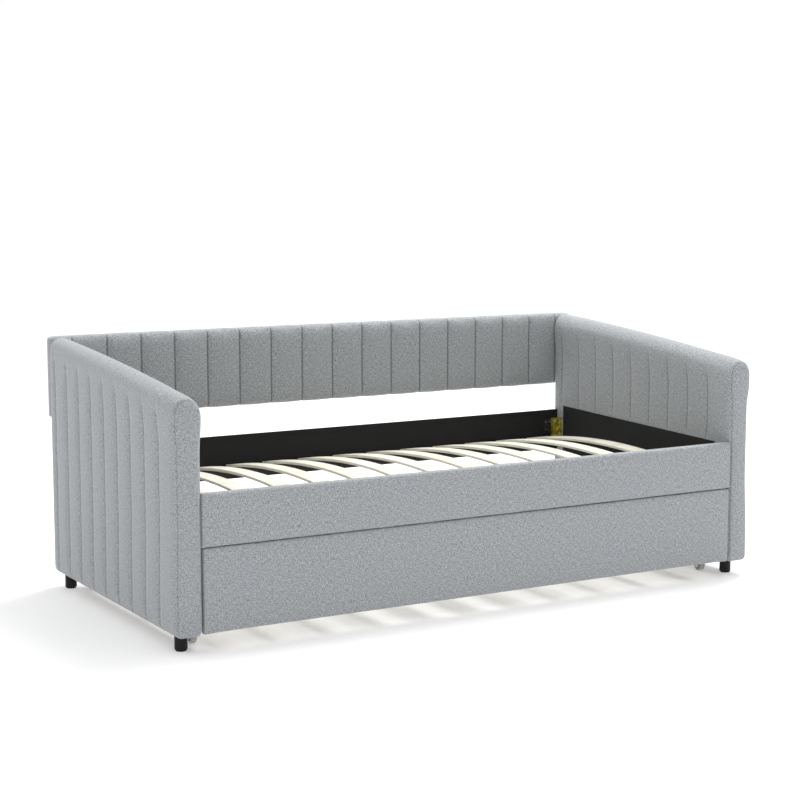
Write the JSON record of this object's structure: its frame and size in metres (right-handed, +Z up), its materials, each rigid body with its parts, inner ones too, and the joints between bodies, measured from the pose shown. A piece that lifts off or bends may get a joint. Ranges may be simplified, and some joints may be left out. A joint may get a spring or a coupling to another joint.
{
  "type": "trundle bed",
  "caption": "Upholstered daybed with sloping arms, a channel-tufted back panel, bowed slats and a pull-out trundle on small casters.",
  "frame": {"origin": "on the floor at the middle of the footprint, with the trundle pushed in", "axes": "+X along the bed's length, to the right seen from the front; +Y to the back panel; +Z up"},
  "size_m": [2.09, 1.072, 0.824],
  "materials": {
    "grey_fabric": "woven linen-look upholstery fabric, matt",
    "black_lining": "thin non-woven lining cloth, matt",
    "timber": "planed softwood and plywood, raw",
    "trundle_timber": "planed board, raw",
    "slat_wood": "pale bent birch plywood, satin",
    "black_ledger": "batten covered in black lining cloth",
    "yellow_zinc": "yellow zinc plating, satin",
    "black_steel": "black powder coat",
    "steel": "bright zinc plating",
    "black_plastic": "moulded plastic, satin",
    "grey_plastic": "moulded nylon, satin"
  },
  "bodies": {
    "daybed": {"left_arm_frame": "timber", "left_arm_cover": "grey_fabric", "left_arm_lining": "black_lining", "right_arm_frame": "timber", "right_arm_cover": "grey_fabric", "right_arm_lining": "black_lining", "back_frame": "timber", "back_cover": "grey_fabric", "back_lining": "grey_fabric", "back_bolts": "steel", "front_rail_board": "timber", "front_rail_cover": "grey_fabric", "front_rail_lining": "black_lining", "front_ledger": "black_ledger", "rear_rail_board": "timber", "rear_rail_cover": "grey_fabric", "rear_rail_lining": "black_lining", "rear_ledger": "black_ledger", "slat_01": "slat_wood", "slat_02": "slat_wood", "slat_03": "slat_wood", "slat_04": "slat_wood", "slat_05": "slat_wood", "slat_06": "slat_wood", "slat_07": "slat_wood", "slat_08": "slat_wood", "slat_09": "slat_wood", "slat_10": "slat_wood", "slat_11": "slat_wood", "slat_12": "slat_wood", "slat_13": "slat_wood", "slat_screws": "steel", "corner_brackets": "yellow_zinc", "bracket_plates": "black_steel", "bracket_screws": "steel", "foot_front_left": "black_plastic", "foot_front_right": "black_plastic", "foot_rear_left": "black_plastic", "foot_rear_right": "black_plastic", "foot_studs": "steel"},
    "trundle": {"trundle_front_board": "timber", "trundle_front_cover": "grey_fabric", "trundle_front_lining": "black_lining", "trundle_left_side": "trundle_timber", "trundle_right_side": "trundle_timber", "trundle_rear_board": "trundle_timber", "trundle_ledgers": "timber", "trundle_beam": "timber", "trundle_slats": "slat_wood", "trundle_corner_blocks": "timber", "trundle_screws": "steel", "caster_fork_front_left": "steel", "caster_fork_front_right": "steel", "caster_fork_rear_left": "steel", "caster_fork_rear_right": "steel", "caster_axles": "steel"},
    "caster_wheel_front_left": {"caster_wheel_front_left": "grey_plastic"},
    "caster_wheel_front_right": {"caster_wheel_front_right": "grey_plastic"},
    "caster_wheel_rear_left": {"caster_wheel_rear_left": "grey_plastic"},
    "caster_wheel_rear_right": {"caster_wheel_rear_right": "grey_plastic"}
  },
  "joints": [
    {"name": "trundle_slide", "type": "slide", "parent": "daybed", "child": "trundle", "axis": [0, -1, 0], "range_m": [0, 1]},
    {"name": "front_left_wheel_spin", "type": "hinge", "parent": "trundle", "child": "caster_wheel_front_left", "pos_m": [-0.9465, -0.408, 0.019], "axis": [1, 0, 0], "continuous": true},
    {"name": "front_right_wheel_spin", "type": "hinge", "parent": "trundle", "child": "caster_wheel_front_right", "pos_m": [0.9465, -0.408, 0.019], "axis": [1, 0, 0], "continuous": true},
    {"name": "rear_left_wheel_spin", "type": "hinge", "parent": "trundle", "child": "caster_wheel_rear_left", "pos_m": [-0.9465, 0.37, 0.019], "axis": [1, 0, 0], "continuous": true},
    {"name": "rear_right_wheel_spin", "type": "hinge", "parent": "trundle", "child": "caster_wheel_rear_right", "pos_m": [0.9465, 0.37, 0.019], "axis": [1, 0, 0], "continuous": true}
  ],
  "couplings": [
    {"joint": "front_left_wheel_spin", "follows": "trundle_slide", "rad_per_m": 52.632},
    {"joint": "front_right_wheel_spin", "follows": "trundle_slide", "rad_per_m": 52.632},
    {"joint": "rear_left_wheel_spin", "follows": "trundle_slide", "rad_per_m": 52.632},
    {"joint": "rear_right_wheel_spin", "follows": "trundle_slide", "rad_per_m": 52.632}
  ]
}
